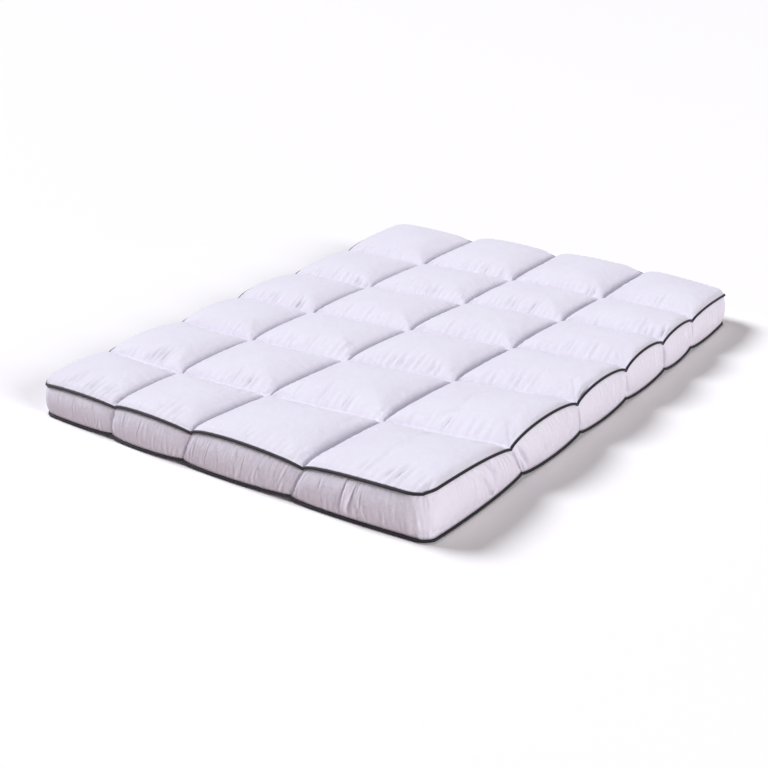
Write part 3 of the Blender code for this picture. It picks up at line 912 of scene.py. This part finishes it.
def seen_or_lighting(tree, lighting, seen):
    """One colour where the camera sees the surface, another where it lights the topper."""
    ray = add_node(tree, "ShaderNodeLightPath")
    return mixed(tree, ray.outputs["Is Camera Ray"], lighting, seen)


def painted_floor(name):
    """A matt white studio floor, a little darker where it lights the topper than where the camera sees it."""
    material, tree = new_material(name)
    colour = seen_or_lighting(tree, linear(FLOOR_GLOW), linear(FLOOR))
    finish_material(tree, Base_Color=colour, Roughness=0.9)
    return material


# ================================================================ stage

CAMERA_PLACE = (2.292, -3.282, 1.458)
CAMERA_TURN = math.radians(-36.28)  # to the left of +Y
CAMERA_DROP = math.radians(21.10)  # below level
CAMERA_ROLL = math.radians(-1.88)
CAMERA_LENS = 58.54
SENSOR = 36.0  # mm, as is the lens
SKY_LIGHT = (0.145, 0.132, 0.135, 1.0)
SKY_SEEN = (1.0, 1.0, 1.0, 1.0)
FLOOR_SIZE = 60.0
FLOOR_GAP = 0.0003
Sun = namedtuple("Sun", "name towards strength angle colour")
SUNS = (
    Sun("key", (1.0, 0.06, -0.90), 3.18, 24, (0.955, 0.98, 1.05)),
    Sun("fill", (-1.0, 0.20, -0.36), 2.08, 20, (1.0, 1.0, 1.03)),
)


def add_camera():
    """A camera at the photograph's viewing angle."""
    ahead = Vector(
        (
            math.sin(CAMERA_TURN) * math.cos(CAMERA_DROP),
            math.cos(CAMERA_TURN) * math.cos(CAMERA_DROP),
            -math.sin(CAMERA_DROP),
        )
    )
    right = Vector((math.cos(CAMERA_TURN), -math.sin(CAMERA_TURN), 0.0))
    up = right.cross(ahead)
    cosine, sine = math.cos(CAMERA_ROLL), math.sin(CAMERA_ROLL)
    axes = (cosine * right + sine * up, cosine * up - sine * right, -ahead)
    placed = Matrix(axes).transposed().to_4x4()
    placed.translation = CAMERA_PLACE
    data = bpy.data.cameras.new("camera")
    data.lens, data.sensor_width = CAMERA_LENS, SENSOR
    data.clip_end = 200
    camera = bpy.data.objects.new("camera", data)
    camera.matrix_world = placed
    bpy.context.scene.collection.objects.link(camera)
    bpy.context.scene.camera = camera


def add_sun(sun):
    """A soft light from far away."""
    data = bpy.data.lights.new(sun.name, "SUN")
    data.energy, data.angle, data.color = sun.strength, math.radians(sun.angle), sun.colour
    lamp = bpy.data.objects.new(sun.name, data)
    lamp.rotation_euler = Vector(sun.towards).to_track_quat("-Z", "Y").to_euler()
    bpy.context.scene.collection.objects.link(lamp)


def studio_sky(name):
    """An even sky that lights the topper softly from all round, and is white where it shows."""
    world = bpy.data.worlds.new(name)
    world.use_nodes = True
    tree = world.node_tree
    tree.links.new(seen_or_lighting(tree, SKY_LIGHT, SKY_SEEN), tree.nodes["Background"].inputs["Color"])
    return world


def add_stage():
    """A pale floor, an even white sky and soft light from the left and from the right."""
    half = FLOOR_SIZE / 2
    corners = np.array([[-half, -half], [half, -half], [half, half], [-half, half]])
    corners = np.column_stack([corners, np.full(4, -FLOOR_GAP)])
    floor = make_object("floor", corners, [np.array([[0, 1, 2, 3]])])
    floor.data.materials.append(painted_floor("matt_white_floor_paint"))
    bpy.context.scene.world = studio_sky("studio_sky")
    for sun in SUNS:
        add_sun(sun)
    bpy.context.scene.view_settings.view_transform = "Standard"


# ================================================================ the topper


def finish_piece(piece, material, slot, *nodes):
    """Its material, the body that it rides on and the nodes that it stands for. The slot is not used."""
    piece.data.materials.append(material)
    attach(piece, "root")
    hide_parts(*nodes)


def centred(x, y, outline):
    """x and y moved as in the model, where the middle of the outline is at the origin."""
    return x - (outline[0].min() + outline[0].max()) / 2, y - (outline[1].min() + outline[1].max()) / 2


def build_topper():
    top_plan, foot_plan = plan(foot=0), plan(foot=1)
    outline = [np.stack([a, b]) for a, b in zip(top_plan, foot_plan)]
    top_x, top_y = centred(*top_plan, outline)
    foot_x, foot_y = centred(*foot_plan, outline)
    top = Edge(top_x, top_y, top_heights(CROWN))
    foot = Edge(foot_x, foot_y, foot_heights())
    gusset_points = gusset_face(top, foot)
    top_points = np.stack([top_x, top_y, start_heights(top_x, top_y)], axis=-1)
    top_points[RIM] = top.beside(LIP_OUT, LIP_UP)
    top_points, gusset_points = blow_up(top_points, gusset_points, top, foot)
    top_points[..., 2] = rounded_out(top_points[..., 2]) - creased()
    underside_points = np.stack([foot_x, foot_y, underside_heights()], axis=-1)

    cotton = percale_cotton("white_cotton_percale")
    binding = twill_binding("charcoal_twill_binding")
    pad = build_pad(top_points, top, foot, underside_points)
    finish_piece(pad, cotton, "white_cotton", "quilted_pad")
    gusset = build_gusset(gusset_points, top, foot)
    finish_piece(gusset, cotton, "white_cotton", "gusset")
    stitches = build_stitches(top_points)
    finish_piece(stitches, spun_thread("white_polyester_thread"), "white_cotton")
    for name, edge in (("piping_top", top), ("piping_bottom", foot)):
        finish_piece(build_piping(name + "_binding", edge), binding, "charcoal_binding", name)


add_camera()
add_stage()
build_topper()
